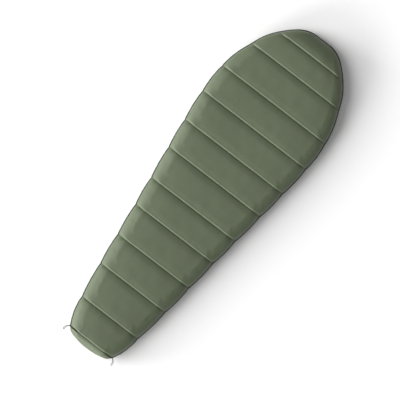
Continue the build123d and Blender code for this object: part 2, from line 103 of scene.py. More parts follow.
def smooth_step(x):
    x = np.clip(x, 0, 1)
    return x * x * (3 - 2 * x)


def fill_box(number):
    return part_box(f"back_fill_{number:02d}")


def cross_seams():
    """Y of the cross seams between the chambers, foot to head, with the foot seam first."""
    found = [FOOT_SEAM_Y]
    for number in range(1, CHAMBERS):
        found.append((fill_box(number)[1].y + fill_box(number + 1)[0].y) / 2)
    return np.array(found)


CROSS_SEAMS = cross_seams()
LAST_SEAM_Y = CROSS_SEAMS[-1]
HOOD_STARTS_Y = CROSS_SEAMS[-3]  # from here on the side seam runs smoothly past the cross seams


def outline_table():
    """(y, half-width) of the back shell's edge at the side seam, foot to head."""
    co = np.array([v.co for v in frame["nodes"]["back_shell"].data.vertices])
    edge = co[(co[:, 2] < co[:, 2].min() + 2e-4) & (co[:, 0] > 0)]
    rows = {}
    for x, y, _ in edge:
        key = round(y, 4)
        rows[key] = max(rows.get(key, 0), x)
    ys = np.array(sorted(rows))
    return ys, np.array([rows[y] for y in ys])


OUTLINE_STEP = 0.004
EVENED_STEPS = 30  # how far to each side the hood's outline is averaged
EVENED_SPREAD = 0.032


def without_hood_notches(ys, widths):
    """The same outline with the hood's part evened out, where the cross seams don't nip it."""
    fine = np.append(np.arange(ys[0], ys[-1], OUTLINE_STEP), ys[-1])
    squares = np.interp(fine, ys, widths**2)
    reach = np.arange(-EVENED_STEPS, EVENED_STEPS + 1)
    kernel = np.exp(-((reach * OUTLINE_STEP / EVENED_SPREAD) ** 2))
    soft = np.convolve(np.pad(squares, EVENED_STEPS, mode="edge"), kernel / kernel.sum(), "valid")
    share = smooth_step((fine - HOOD_STARTS_Y + 0.03) / 0.05)
    share = share * smooth_step((ys[-1] - fine - 0.03) / 0.08)
    return fine, np.sqrt(squares + (soft - squares) * share)


OUTLINE_Y, OUTLINE_W = without_hood_notches(*outline_table())


def half_width(y):
    """Half the bag's width at y. Squares are interpolated, which rounds the head's end."""
    return np.sqrt(np.interp(y, OUTLINE_Y, OUTLINE_W**2))


def head_closing(y):
    """1 up to the last cross seam, then a round fall to nothing at the head's tip."""
    along = np.clip((y - LAST_SEAM_Y) / (HEAD_TIP_Y + 0.0006 - LAST_SEAM_Y), 0, 1)
    return np.sqrt(1 - along**2)


# ------------------------------ small helpers
def ripple(points, lengths, count, seed):
    """Smooth noise, about -1 to 1: a sum of waves with these lengths, at seeded angles."""
    random = np.random.RandomState(seed)
    points = np.asarray(points, float)
    total = np.zeros(points.shape[:-1])
    for _ in range(count):
        length = random.uniform(*lengths)
        direction = random.normal(size=points.shape[-1])
        direction /= np.linalg.norm(direction)
        phase = random.uniform(0, 2 * math.pi)
        total += np.sin(points @ direction * 2 * math.pi / length + phase)
    return total / math.sqrt(count)


def new_mesh(name, vertices, faces, materials, smooth=True):
    mesh = bpy.data.meshes.new(name)
    mesh.from_pydata([tuple(v) for v in vertices], [], [tuple(f) for f in faces])
    mesh.validate()
    mesh.update()
    for material in materials:
        mesh.materials.append(material)
    if smooth:
        mesh.polygons.foreach_set("use_smooth", [True] * len(mesh.polygons))
    obj = bpy.data.objects.new(name, mesh)
    bpy.context.scene.collection.objects.link(obj)
    return obj


def grid_faces(rows, columns, close_columns=False):
    """Quads of a grid of rows x columns vertices, stored row by row."""
    last = columns if close_columns else columns - 1
    row, column = np.meshgrid(np.arange(rows - 1), np.arange(last), indexing="ij")
    after = (column + 1) % columns
    corners = [row * columns + column, row * columns + after]
    corners += [(row + 1) * columns + after, (row + 1) * columns + column]
    return np.stack(corners, -1).reshape(-1, 4)


def rim_faces(outside, count):
    """Faces that join a grid's open edges to the same points, count further on."""
    edges = {}
    for face in outside:
        for a, b in zip(face, np.roll(face, -1)):
            if (b, a) in edges:
                del edges[(b, a)]
            else:
                edges[(a, b)] = True
    return [(b, a, a + count, b + count) for a, b in edges]


def grid_normals(points):
    """Unit normals of a grid of points, along the rows crossed with across them."""
    down = np.gradient(points, axis=0)
    across = np.gradient(points, axis=1)
    normal = np.cross(across, down)
    return normal / np.maximum(np.linalg.norm(normal, axis=-1, keepdims=True), 1e-12)


def tube(path, radii, sides):
    """Vertices and faces of a closed tube along an open path."""
    path = np.asarray(path, float)
    ahead = np.gradient(path, axis=0)
    ahead /= np.linalg.norm(ahead, axis=1, keepdims=True)
    up = np.array([0, 0, 1.0]) - ahead * ahead[:, 2:3]
    up /= np.maximum(np.linalg.norm(up, axis=1, keepdims=True), 1e-9)
    out = np.cross(ahead, up)
    angle = np.linspace(0, 2 * math.pi, sides, endpoint=False)
    radii = np.broadcast_to(np.asarray(radii, float), (len(path),))
    ring = out[:, None] * np.cos(angle)[None, :, None] + up[:, None] * np.sin(angle)[None, :, None]
    points = path[:, None] + ring * radii[:, None, None]
    vertices = points.reshape(-1, 3)
    faces = [list(f) for f in grid_faces(len(path), sides, close_columns=True)[:, ::-1]]
    faces.append(list(range(sides)))
    faces.append(list(range(len(vertices) - sides, len(vertices)))[::-1])
    return vertices, faces


def joined(parts):
    """One list of vertices and faces from several (vertices, faces)."""
    vertices, faces, first = [], [], 0
    for part_vertices, part_faces in parts:
        vertices.append(np.asarray(part_vertices))
        faces += [[first + i for i in face] for face in part_faces]
        first += len(part_vertices)
    return np.vstack(vertices), faces


def resampled(path, pitch):
    """Points spaced pitch apart along a polyline, with their unit directions."""
    path = np.asarray(path, float)
    steps = np.linalg.norm(np.diff(path, axis=0), axis=1)
    along = np.concatenate([[0], np.cumsum(steps)])
    wanted = np.arange(pitch / 2, along[-1], pitch)
    points = np.stack([np.interp(wanted, along, path[:, i]) for i in range(3)], -1)
    direction = np.gradient(points, axis=0)
    return points, direction / np.linalg.norm(direction, axis=1, keepdims=True)


# ------------------------------ materials
def node_material(name):
    material = bpy.data.materials.new(name)
    material.use_nodes = True
    nodes = material.node_tree.nodes
    return material, nodes, material.node_tree.links, nodes["Principled BSDF"]


def noise(nodes, links, coords, scale, detail=3.0, roughness=0.55):
    texture = nodes.new("ShaderNodeTexNoise")
    texture.inputs["Scale"].default_value = scale
    texture.inputs["Detail"].default_value = detail
    texture.inputs["Roughness"].default_value = roughness
    links.new(coords, texture.inputs["Vector"])
    return texture.outputs["Fac"]


def wave(nodes, links, coords, direction, pitch):
    """Bands across direction, pitch apart: a wave texture's own period is 2 pi / 20 at scale 1."""
    texture = nodes.new("ShaderNodeTexWave")
    texture.wave_type = "BANDS"
    texture.bands_direction = direction
    texture.inputs["Scale"].default_value = 2 * math.pi / (20 * pitch)
    links.new(coords, texture.inputs["Vector"])
    return texture.outputs["Fac"]


def calculate(nodes, links, operation, a, b):
    node = nodes.new("ShaderNodeMath")
    node.operation = operation
    for socket, value in zip(node.inputs, (a, b)):
        if isinstance(value, (int, float)):
            socket.default_value = value
        else:
            links.new(value, socket)
    return node.outputs[0]


def colour_ramp(nodes, links, factor, stops):
    ramp = nodes.new("ShaderNodeValToRGB")
    ramp.color_ramp.elements[0].position = stops[0][0]
    ramp.color_ramp.elements[0].color = (*stops[0][1], 1)
    ramp.color_ramp.elements[1].position = stops[-1][0]
    ramp.color_ramp.elements[1].color = (*stops[-1][1], 1)
    for position, colour in stops[1:-1]:
        ramp.color_ramp.elements.new(position).color = (*colour, 1)
    links.new(factor, ramp.inputs["Fac"])
    return ramp.outputs["Color"]


def shade(colour, amount):
    return tuple(min(1.0, c * amount) for c in colour)


def woven(name, colour, pitch, rough, sheen, mottle=0.06, bump=0.25, gloss=0.2):
    """Woven fabric: mottled colour, a plain weave and a fine crinkle in its bump."""
    material, nodes, links, shader = node_material(name)
    coords = nodes.new("ShaderNodeTexCoord").outputs["Object"]
    patches = noise(nodes, links, coords, 9.0, 4.0)
    threads = noise(nodes, links, coords, 420.0, 2.0)
    blend = calculate(nodes, links, "MULTIPLY", threads, 0.35)
    blend = calculate(nodes, links, "ADD", blend, calculate(nodes, links, "MULTIPLY", patches, 0.65))
    stops = [(0.36, shade(colour, 1 - mottle)), (0.64, shade(colour, 1 + mottle))]
    links.new(colour_ramp(nodes, links, blend, stops), shader.inputs["Base Color"])
    warp = wave(nodes, links, coords, "X", pitch)
    weft = wave(nodes, links, coords, "Y", pitch)
    side = wave(nodes, links, coords, "Z", pitch)
    weave = calculate(nodes, links, "MULTIPLY", warp, weft)
    weave = calculate(nodes, links, "ADD", weave, calculate(nodes, links, "MULTIPLY", side, 0.4))
    rough_noise = noise(nodes, links, coords, 60.0, 3.0)
    roughness = calculate(nodes, links, "MULTIPLY", rough_noise, 0.16)
    roughness = calculate(nodes, links, "ADD", roughness, rough - 0.08)
    links.new(roughness, shader.inputs["Roughness"])
    fine = nodes.new("ShaderNodeBump")
    fine.inputs["Strength"].default_value = bump
    fine.inputs["Distance"].default_value = pitch * 0.3
    links.new(weave, fine.inputs["Height"])
    creases = nodes.new("ShaderNodeBump")
    creases.inputs["Strength"].default_value = 0.6
    creases.inputs["Distance"].default_value = 0.0004
    links.new(noise(nodes, links, coords, 46.0, 5.0, 0.6), creases.inputs["Height"])
    links.new(fine.outputs["Normal"], creases.inputs["Normal"])
    links.new(creases.outputs["Normal"], shader.inputs["Normal"])
    shader.inputs["Sheen Weight"].default_value = sheen
    shader.inputs["Sheen Roughness"].default_value = 0.35
    shader.inputs["Sheen Tint"].default_value = (0.90, 1.0, 0.88, 1)
    shader.inputs["Specular IOR Level"].default_value = gloss
    return material


def moulded(name, colour, rough, metallic=0.0):
    """Moulded plastic or cast metal: faint colour change and a fine grain."""
    material, nodes, links, shader = node_material(name)
    coords = nodes.new("ShaderNodeTexCoord").outputs["Object"]
    patches = noise(nodes, links, coords, 120.0, 3.0)
    stops = [(0.35, shade(colour, 0.85)), (0.65, shade(colour, 1.2))]
    links.new(colour_ramp(nodes, links, patches, stops), shader.inputs["Base Color"])
    wear = noise(nodes, links, coords, 300.0, 3.0)
    roughness = calculate(nodes, links, "MULTIPLY", wear, 0.25)
    roughness = calculate(nodes, links, "ADD", roughness, rough - 0.12)
    links.new(roughness, shader.inputs["Roughness"])
    bump = nodes.new("ShaderNodeBump")
    bump.inputs["Strength"].default_value = 0.4
    bump.inputs["Distance"].default_value = 0.00005
    links.new(noise(nodes, links, coords, 900.0, 2.0), bump.inputs["Height"])
    links.new(bump.outputs["Normal"], shader.inputs["Normal"])
    shader.inputs["Metallic"].default_value = metallic
    return material


OLIVE = (0.082, 0.105, 0.056)
SHELL = woven("shell_fabric", OLIVE, 0.0011, 0.60, 0.08, mottle=0.04, gloss=0.60)
LINING = woven("lining_fabric", (0.035, 0.040, 0.036), 0.0010, 0.62, 0.15)
BINDING = woven("binding", (0.012, 0.014, 0.011), 0.0013, 0.7, 0.0, bump=0.5, gloss=0.1)
WEBBING = woven("webbing", (0.014, 0.015, 0.013), 0.0012, 0.7, 0.0, bump=0.8, gloss=0.1)
DRAWCORD = woven("drawcord", (0.018, 0.018, 0.017), 0.0012, 0.7, 0.1, bump=0.9)
THREAD = woven("thread", (0.070, 0.086, 0.052), 0.0004, 0.6, 0.1, bump=0.8)
TAPE = woven("zip_tape", (0.026, 0.030, 0.022), 0.0011, 0.7, 0.1, bump=0.8)
COIL = moulded("zip_coil", (0.018, 0.019, 0.018), 0.4)
METAL = moulded("zip_metal", (0.05, 0.05, 0.05), 0.38, metallic=0.6)
LOCK = moulded("cord_lock_plastic", (0.014, 0.014, 0.014), 0.45)
SPRING = moulded("spring_steel", (0.52, 0.53, 0.55), 0.3, metallic=1.0)


# ------------------------------ quilted layers
SEAM_STEPS = [0.0, 0.0011, 0.0024, 0.0040, 0.0060, 0.0086, 0.0120, 0.0164, 0.0220]
EDGE_STEPS = [0.0, 0.004, 0.009, 0.015, 0.022, 0.031, 0.042, 0.055]
ROW_STEP = 0.0075
MIDDLE_COLUMNS = 139
# Each cross seam's crease, as (depth, reach) pairs: the fabric falls to it gently from
# the foot side and stands up steeply from it, as a rounded lip, on the head side.
FOOT_SIDE_FALL = [(0.0070, 0.0140), (0.0022, 0.0030)]
HEAD_SIDE_FALL = [(0.0066, 0.0050), (0.0026, 0.0020)]
LIP_HEIGHT, LIP_AT, LIP_SPREAD = 0.0010, 0.0085, 0.0040
EDGE_SWELL, SWELL_AT, SWELL_SPREAD = 0.0046, 0.044, 0.026  # fullness above the side seam
SHOULDER_FALL, SHOULDER_SPREAD = 0.0024, 0.050  # eases the flat top into the round side
EDGE_TUCK, TUCK_SPREAD = 0.0008, 0.004  # drawn in right at the side seam
EDGE_SHARE = 0.28  # of a crease's depth that is left at the side seam, short of the hood
FULL_DEPTH_AT = 0.07  # up the side, where a crease has its whole depth
# Gathers by the cross seams: wavelengths, number of waves, fade, start, height, seed step
GATHERS = [
    ((0.022, 0.060), 6, 0.024, 0.006, 0.00030, 0),
    ((0.009, 0.017), 5, 0.009, 0.003, 0.00028, 500),
]
UNEVEN_HEIGHT, SMALL_UNEVEN_HEIGHT = 0.0007, 0.00022


def chamber_rows(low_y, high_y):
    """Row positions in one chamber, close together by its two cross seams."""
    middle_low, middle_high = low_y + SEAM_STEPS[-1], high_y - SEAM_STEPS[-1]
    count = max(2, int((middle_high - middle_low) / ROW_STEP))
    middle = np.linspace(middle_low, middle_high, count + 1)[1:-1]
    return np.concatenate([low_y + SEAM_STEPS, middle, (high_y - SEAM_STEPS)[::-1][:-1]])


def closing_rows(start, count):
    """Rows from start round to the head's tip, closer together towards the tip."""
    turn = np.linspace(0, math.pi / 2, count)[:-1]
    return start + (HEAD_TIP_Y - start) * np.sin(turn)


def fine_rows():
    rows = []
    for low_y, high_y in zip(CROSS_SEAMS[:-1], CROSS_SEAMS[1:]):
        rows.append(chamber_rows(low_y, np.float64(high_y)))
    near = LAST_SEAM_Y + np.array(SEAM_STEPS)
    return np.concatenate(rows + [near[:-1], closing_rows(near[-1], 40)])


def fine_columns():
    """Positions across a layer, -1 to 1, close together by the side seams."""
    middle = np.linspace(EDGE_STEPS[-1] - 1, 1 - EDGE_STEPS[-1], MIDDLE_COLUMNS)
    edge = np.array(EDGE_STEPS[:-1])
    return np.concatenate([edge - 1, middle, (1 - edge)[::-1]])


ROWS = fine_rows()
ACROSS = fine_columns()


def seam_distance(y):
    """Distance to the nearest cross seam, and that seam's number."""
    gap = np.abs(y[:, None] - CROSS_SEAMS[None])
    return gap.min(1), gap.argmin(1)


def sections(y, width, rise, side, crown, across, slit):
    """Points of one layer's rows: side seam to side seam, each as a rounded arch.

    slit is each row's angle, up the corner from the side seam, at which the +X edge stops.
    The second result is each point's distance from its side seam, along the arch.
    """
    width, rise, slit = (np.asarray(a, float)[:, None] for a in (width, rise, slit))
    t = np.abs(across)[None]
    start = np.where(across[None] > 0, slit, 0.0)
    corner = (math.pi / 2 - start) * rise
    flat = np.maximum(width - rise, 1e-4)
    run = (1 - t) * (corner + flat)
    angle = start + np.minimum(run / np.maximum(rise, 1e-6), math.pi / 2 - start)
    inner = np.clip(run - corner, 0, None)
    x = np.where(run < corner, flat + rise * np.cos(angle), flat - inner)
    lift = crown * (1 - (x / (flat + rise)) ** 2)
    z = rise * np.sin(angle) + lift * np.sin(angle)
    x = x * np.sign(across + 1e-12)[None]
    rows = np.broadcast_to(np.asarray(y)[:, None], x.shape)
    return np.stack([x, rows, SEAM_Z + side * z], -1), run


def crease(y):
    """How far each row is pulled in: sharply at a cross seam, hardly at all between."""
    gap, seam = seam_distance(y)
    foot_side = sum(depth * np.exp(-gap / reach) for depth, reach in FOOT_SIDE_FALL)
    head_side = sum(depth * np.exp(-gap / reach) for depth, reach in HEAD_SIDE_FALL)
    head_side -= LIP_HEIGHT * np.exp(-(((gap - LIP_AT) / LIP_SPREAD) ** 2))
    return np.where(y < CROSS_SEAMS[seam], foot_side, head_side)


def puckers(points, y, seed):
    """Small gathers that run out from each cross seam, as sewn fabric has."""
    gap, seam = seam_distance(y)
    above = np.sign(y - CROSS_SEAMS[seam])
    line = points[..., 0] + 0.7 * points[..., 2]
    total = np.zeros(points.shape[:2])
    for number in range(len(CROSS_SEAMS)):
        for half in (-1, 1):
            rows = (seam == number) & (above == half)
            if not rows.any():
                continue
            place = line[rows][..., None]
            away = gap[rows][:, None]
            for lengths, count, fade, start, height, step in GATHERS:
                waves = ripple(place, lengths, count, seed + step + 10 * number + half)
                total[rows] += waves * np.exp(-away / fade) * (1 - np.exp(-away / start)) * height
    return total


def quilted(y, across, side, rise, crown, slit, deep):
    """The shell fabric of one layer as a grid, pulled in along its stitching."""
    closing = head_closing(y)
    points, run = sections(y, half_width(y), rise * closing, side, crown, across, slit)
    normals = grid_normals(points) * side
    up_the_side = smooth_step(run / FULL_DEPTH_AT)
    gap, _ = seam_distance(y)
    hood = smooth_step((y - HOOD_STARTS_Y) / 0.08)[:, None]
    at_edge = EDGE_SHARE * (1 - hood)
    pull = crease(y)[:, None] * (at_edge + (1 - at_edge) * up_the_side) * deep
    swell = EDGE_SWELL * np.exp(-(((run - SWELL_AT) / SWELL_SPREAD) ** 2))
    swell -= EDGE_TUCK * np.exp(-run / TUCK_SPREAD)
    corner = rise * closing[:, None] * math.pi / 2
    swell -= SHOULDER_FALL * np.exp(-(((run - corner) / SHOULDER_SPREAD) ** 2))
    swell = swell * (1 - (1 - hood) * np.exp(-gap / 0.012)[:, None])
    return points + normals * ((swell - pull) * closing[:, None])[..., None], run


# ---- cloth simulation: the stitched fabric blown up a little against its seams
COARSE_STEP = 0.0105
COARSE_COLUMNS = 77
CLOTH_FRAMES = 20
MOST_BILLOW = 0.0012
HELD_BELOW = 0.012  # the front layer is held where it lies on the ground
BILLOW_FROM_SEAM = 0.045  # distance from a cross seam at which the movement is whole
BILLOW_FROM_EDGE = 0.22  # the same from a side seam, as a share of half the layer
INNER_DEPTH = 0.6  # of the layer's thickness, where the simulated shell's far side lies


def coarse_rows():
    rows, seams = [], []
    for low_y, high_y in zip(CROSS_SEAMS[:-1], CROSS_SEAMS[1:]):
        count = int(round((high_y - low_y) / COARSE_STEP))
        seams.append(sum(len(r) for r in rows))
        rows.append(np.linspace(low_y, high_y, count + 1)[:-1])
    seams.append(sum(len(r) for r in rows))
    rows.append(closing_rows(LAST_SEAM_Y, 16))
    rows = np.concatenate(rows)
    return rows, seams + [len(rows) - 1]


def simulated_billow(name, outer, inner, side, pinned):
    """Where Blender's cloth moves a layer's shell to, less where it started."""
    rows, columns = outer.shape[:2]
    count = rows * columns
    faces = grid_faces(rows, columns)
    outside, inside = (faces, faces[:, ::-1]) if side > 0 else (faces[:, ::-1], faces)
    vertices = np.vstack([outer.reshape(-1, 3), inner.reshape(-1, 3)])
    rim = rim_faces(outside, count)
    every = [tuple(f) for f in outside] + [tuple(f) for f in inside + count] + rim
    soft = new_mesh(name, vertices, every, [])
    group = soft.vertex_groups.new(name="held")
    held = np.concatenate([np.flatnonzero(pinned.reshape(-1)), np.arange(count, 2 * count)])
    group.add([int(i) for i in held], 1.0, "REPLACE")
    cloth = soft.modifiers.new("cloth", "CLOTH")
    cloth.point_cache.frame_start = 1
    cloth.point_cache.frame_end = CLOTH_FRAMES
    cloth.collision_settings.use_collision = False
    cloth.collision_settings.use_self_collision = False
    settings = cloth.settings
    settings.quality = 6
    settings.vertex_group_mass = "held"
    settings.use_pressure = True
    settings.uniform_pressure_force = 3.0
    settings.tension_stiffness = 60.0
    settings.compression_stiffness = 60.0
    settings.bending_stiffness = 1.5
    settings.shrink_min = -0.001
    settings.effector_weights.gravity = 0.0
    for number in range(1, CLOTH_FRAMES + 1):
        bpy.context.scene.frame_set(number)
    graph = bpy.context.evaluated_depsgraph_get()
    moved = np.empty(2 * count * 3)
    soft.evaluated_get(graph).data.vertices.foreach_get("co", moved)
    bpy.data.objects.remove(soft)
    bpy.context.scene.frame_set(1)
    shift = moved.reshape(-1, 3)[:count].reshape(outer.shape) - outer
    size = np.linalg.norm(shift, axis=-1, keepdims=True)
    return shift * np.tanh(size / MOST_BILLOW) * MOST_BILLOW / np.maximum(size, 1e-9)


def cubic_along(values, place):
    """Values on a line of grid rows read off between the rows by a smooth curve."""
    last = len(values) - 1
    low = np.clip(np.floor(place).astype(int), 0, last - 1)
    part = (place - low).reshape(-1, *[1] * (values.ndim - 1))
    a, b = values[np.clip(low - 1, 0, last)], values[low]
    c, d = values[low + 1], values[np.clip(low + 2, 0, last)]
    bend = 2 * a - 5 * b + 4 * c - d + part * (3 * (b - c) + d - a)
    return b + 0.5 * part * (c - a + part * bend)


def billow(name, side, rise, crown, slit_of, deep):
    """Cloth movement of one layer at every point of the fine grid."""
    y, seams = coarse_rows()
    across = np.linspace(-1, 1, COARSE_COLUMNS)
    outer, _ = quilted(y, across, side, rise, crown, slit_of(y), deep)
    inner = outer - grid_normals(outer) * side * LAYER * INNER_DEPTH
    pinned = np.zeros(outer.shape[:2], bool)
    pinned[seams] = pinned[:, 0] = pinned[:, -1] = True
    if side < 0:
        pinned |= outer[..., 2] < HELD_BELOW
    shift = simulated_billow(name, outer, inner, side, pinned)
    shift = cubic_along(shift, np.interp(ROWS, y, np.arange(len(y))))
    columns = np.interp(ACROSS, across, np.arange(COARSE_COLUMNS))
    shift = cubic_along(shift.swapaxes(0, 1), columns).swapaxes(0, 1)
    gap, _ = seam_distance(ROWS)
    free = smooth_step(gap / BILLOW_FROM_SEAM)[:, None]
    free = free * smooth_step((1 - np.abs(ACROSS)) / BILLOW_FROM_EDGE)[None]
    return shift * free[..., None]


def outer_surface(name, side, rise, crown, slit_of, deep):
    """The shell fabric on the fine grid: quilted, billowed and gently uneven."""
    points, run = quilted(ROWS, ACROSS, side, rise, crown, slit_of(ROWS), deep)
    points = points + billow(name, side, rise, crown, slit_of, deep)
    normals = grid_normals(points) * side
    uneven = ripple(points, (0.16, 0.42), 9, 3 + side) * UNEVEN_HEIGHT
    small = ripple(points, (0.05, 0.11), 9, 13 + side) * SMALL_UNEVEN_HEIGHT
    calm = smooth_step(run / 0.05) * head_closing(ROWS)[:, None]
    lift = (puckers(points, ROWS, 40 + side) + uneven + small) * calm
    return points + normals * lift[..., None]


def inner_surface(side, rise, slit):
    """The lining of one layer, on the same grid, drawn in short of the head's tip."""
    squeeze = (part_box("back_liner")[1].y - LAST_SEAM_Y) / (HEAD_TIP_Y - LAST_SEAM_Y)
    y = np.where(ROWS > LAST_SEAM_Y, LAST_SEAM_Y + (ROWS - LAST_SEAM_Y) * squeeze, ROWS)
    inner_rise = np.maximum(rise * head_closing(y) - LAYER, 0.003)
    points, run = sections(y, half_width(y) - LAYER, inner_rise, side, 0.0, ACROSS, slit)
    normals = grid_normals(points) * side
    pull = crease(y)[:, None] * smooth_step(run / 0.05) * 0.35
    return points + normals * pull[..., None]


def closed_layer(name, outer, inner, side, kept=None):
    """A closed piece from the shell's and the lining's grids, joined round every edge."""
    rows, columns = outer.shape[:2]
    count = rows * columns
    faces = grid_faces(rows, columns)
    if kept is not None:
        faces = faces[kept.reshape(-1)]
    outside, inside = (faces, faces[:, ::-1]) if side > 0 else (faces[:, ::-1], faces)
    rim = rim_faces(outside, count)
    vertices = np.vstack([outer.reshape(-1, 3), inner.reshape(-1, 3)])
    every = [tuple(f) for f in outside] + [tuple(f) for f in inside + count] + rim
    used = np.unique(np.array(every))
    renumber = np.full(len(vertices), -1)
    renumber[used] = np.arange(len(used))
    layer = new_mesh(name, vertices[used], renumber[np.array(every)], [SHELL, LINING])
    slots = [0] * len(outside) + [1] * len(inside) + [0] * len(rim)
    layer.data.polygons.foreach_set("material_index", slots)
    return layer


def no_slit(y):
    return np.zeros(len(y))


def make_back():
    outer = outer_surface("back_cloth", 1, BACK_RISE, CROWN, no_slit, 1.0)
    inner = inner_surface(1, BACK_RISE, no_slit(ROWS))
    back = closed_layer("back_quilt", outer, inner, 1)
    fills = [f"back_fill_{n:02d}" for n in range(1, CHAMBERS + 1)]
    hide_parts("back_shell", "back_liner", *fills)
    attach(back, "bag")
    return outer


# ---- front layer, with the face opening and the slit beside the zip
HEM_LOW, HEM_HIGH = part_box("hood_hem")
HEM_Z = (HEM_LOW.z + HEM_HIGH.z) / 2
HEM_RADIUS = (HEM_HIGH.z - HEM_LOW.z) / 2
FACE_Y = (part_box("hood_drawcord")[0].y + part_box("hood_drawcord")[1].y) / 2
HEM_BEND = HEM_HIGH.x - HEM_RADIUS
HEM_STRAIGHT = HEM_HIGH.y - HEM_RADIUS - HEM_BEND - FACE_Y
OPENING_EDGE = HEM_RADIUS - 0.001  # outside the hem's centre line
OPENING_ROLL = 0.016  # over which the layer's edge rounds into the hem


def from_hem(points):
    """Distance in plan outside the hem's centre line, and the unit way out from it."""
    x, y = points[..., 0], points[..., 1] - FACE_Y
    nearest = np.clip(y, -HEM_STRAIGHT, HEM_STRAIGHT)
    out = np.stack([x, y - nearest], -1)
    reach = np.maximum(np.linalg.norm(out, axis=-1), 1e-9)
    return reach - HEM_BEND, out / reach[..., None]


def round_into_hem(points, seam_side):
    """Brings a surface's edge at the face opening round to the hem."""
    gap, _ = from_hem(points)
    share = np.clip((gap - OPENING_EDGE) / OPENING_ROLL, 0, 1)
    curve = np.sqrt(1 - (1 - share) ** 2)
    target = HEM_Z + seam_side * 0.002
    rolled = target + (points[..., 2] - target) * curve
    points[..., 2] = np.where(gap < OPENING_EDGE + OPENING_ROLL, rolled, points[..., 2])
    return points


ZIP_END_SPARE, ZIP_END_RISE = 0.011, 0.010  # clear of the pull at both ends of its travel


def zip_opened(y):
    """1 along the zip, where the front layer stops below it, and 0 past its ends."""
    low_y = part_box("zip_tape_back")[0].y - ZIP_END_SPARE
    high_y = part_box("zip_tape_back")[1].y + ZIP_END_SPARE
    return smooth_step((y - low_y) / ZIP_END_RISE) * smooth_step((high_y - y) / ZIP_END_RISE)


def make_front():
    slit_angle = math.asin((SEAM_Z - ZIP_EDGE_Z) / FRONT_DROP)

    def slit_of(y):
        return slit_angle * zip_opened(y)

    outer = outer_surface("front_cloth", -1, FRONT_DROP, 0.0, slit_of, 0.75)
    outer[..., 2] = np.maximum(outer[..., 2], 0.0002)
    inner = inner_surface(-1, FRONT_DROP, math.pi / 2 * 0.96 * zip_opened(ROWS))
    cells = (outer[:-1, :-1] + outer[1:, 1:]) / 2
    gap, _ = from_hem(cells)
    kept = gap > OPENING_EDGE
    touched = np.zeros(outer.shape[:2], int)
    whole = np.zeros(outer.shape[:2], int)
    for r, c in ((0, 0), (0, 1), (1, 0), (1, 1)):
        place = (slice(r, r + kept.shape[0]), slice(c, c + kept.shape[1]))
        touched[place] += kept
        whole[place] += 1
    rim = (touched > 0) & (touched < whole) & (np.abs(outer[..., 0]) < HEM_BEND * 1.5)
    rim[0] = rim[-1] = False
    for surface in (outer, inner):
        gap, out = from_hem(surface)
        surface[..., :2][rim] -= (out * (gap - OPENING_EDGE)[..., None])[rim]
    outer = round_into_hem(outer, -1)
    inner = round_into_hem(inner, 1)
    front = closed_layer("front_quilt", outer, inner, -1, kept)
    fills = [f"front_fill_{n:02d}" for n in range(1, CHAMBERS + 1)]
    panels = [f"front_shell_{part}" for part in ("foot", "middle", "hood")]
    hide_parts("front_liner", *panels, *fills)
    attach(front, "bag")
    return outer


BACK_SURFACE = make_back()
FRONT_SURFACE = make_front()

# ------------------------------ foot end
DOME_RINGS = 26
DOME_SIDES = 128
DOME_DEPTH = FOOT_SEAM_Y - FOOT_TIP_Y


def oval(rise_up, rise_down, half, count):
    """Points round the foot seam's section, evenly spaced, anticlockwise from +X."""
    corner = np.linspace(0, math.pi / 2, 24)
    up = np.stack([half - rise_up + rise_up * np.cos(corner), rise_up * np.sin(corner)], -1)
    down = np.stack([half - rise_down + rise_down * np.cos(corner), -rise_down * np.sin(corner)], -1)
    path = np.vstack([up, (up * [-1, 1])[::-1], down * [-1, 1], down[::-1], up[:1]])
    steps = np.concatenate([[0], np.cumsum(np.linalg.norm(np.diff(path, axis=0), axis=1))])
    wanted = np.linspace(0, steps[-1], count, endpoint=False)
    return np.stack([np.interp(wanted, steps, path[:, i]) for i in range(2)], -1)


def dome(depth, half, rise_up, rise_down, base_y, wrinkle):
    """Rings of a domed cap, from its tip to its base."""
    rim = oval(rise_up, rise_down, half, DOME_SIDES)
    turn = np.linspace(0.06, math.pi / 2, DOME_RINGS)
    share = np.sin(turn)[:, None]
    ring = rim[None] * share[..., None]
    y = base_y - depth * np.cos(turn)[:, None] + np.zeros(DOME_SIDES)
    points = np.stack([ring[..., 0], y, SEAM_Z + ring[..., 1]], -1)
    angle = np.arange(DOME_SIDES) * 2 * math.pi / DOME_SIDES
    around = np.stack([np.cos(angle), np.sin(angle)], -1)
    gathers = ripple(around * 0.35, (0.05, 0.11), 8, 91)[None]
    fade = smooth_step((share - 0.6) / 0.3) * (1 - smooth_step((share - 0.9) / 0.1))
    points[..., 1] -= gathers * fade * wrinkle
    return points


def make_foot_end():
    outer = dome(DOME_DEPTH, FOOT_HALF_WIDTH, FOOT_RISE_UP, FOOT_RISE_DOWN, FOOT_SEAM_Y, 0.0014)
    inner = dome(DOME_DEPTH - LAYER, FOOT_HALF_WIDTH - LAYER, FOOT_RISE_UP - LAYER,
                 FOOT_RISE_DOWN - LAYER, FOOT_SEAM_Y, 0)
    count = DOME_RINGS * DOME_SIDES
    faces = grid_faces(DOME_RINGS, DOME_SIDES, close_columns=True)[:, ::-1]
    outside = [tuple(f) for f in faces] + [tuple(range(DOME_SIDES))]
    inside = [tuple(i + count for i in reversed(f)) for f in outside]
    rim = rim_faces(outside, count)
    vertices = np.vstack([outer.reshape(-1, 3), inner.reshape(-1, 3)])
    piece = new_mesh("foot_end_quilt", vertices, outside + inside + rim, [SHELL, LINING])
    slots = [0] * len(outside) + [1] * len(inside) + [0] * len(rim)
    piece.data.polygons.foreach_set("material_index", slots)
    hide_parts("foot_end_shell", "foot_end_liner", "foot_end_fill")
    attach(piece, "bag")


make_foot_end()


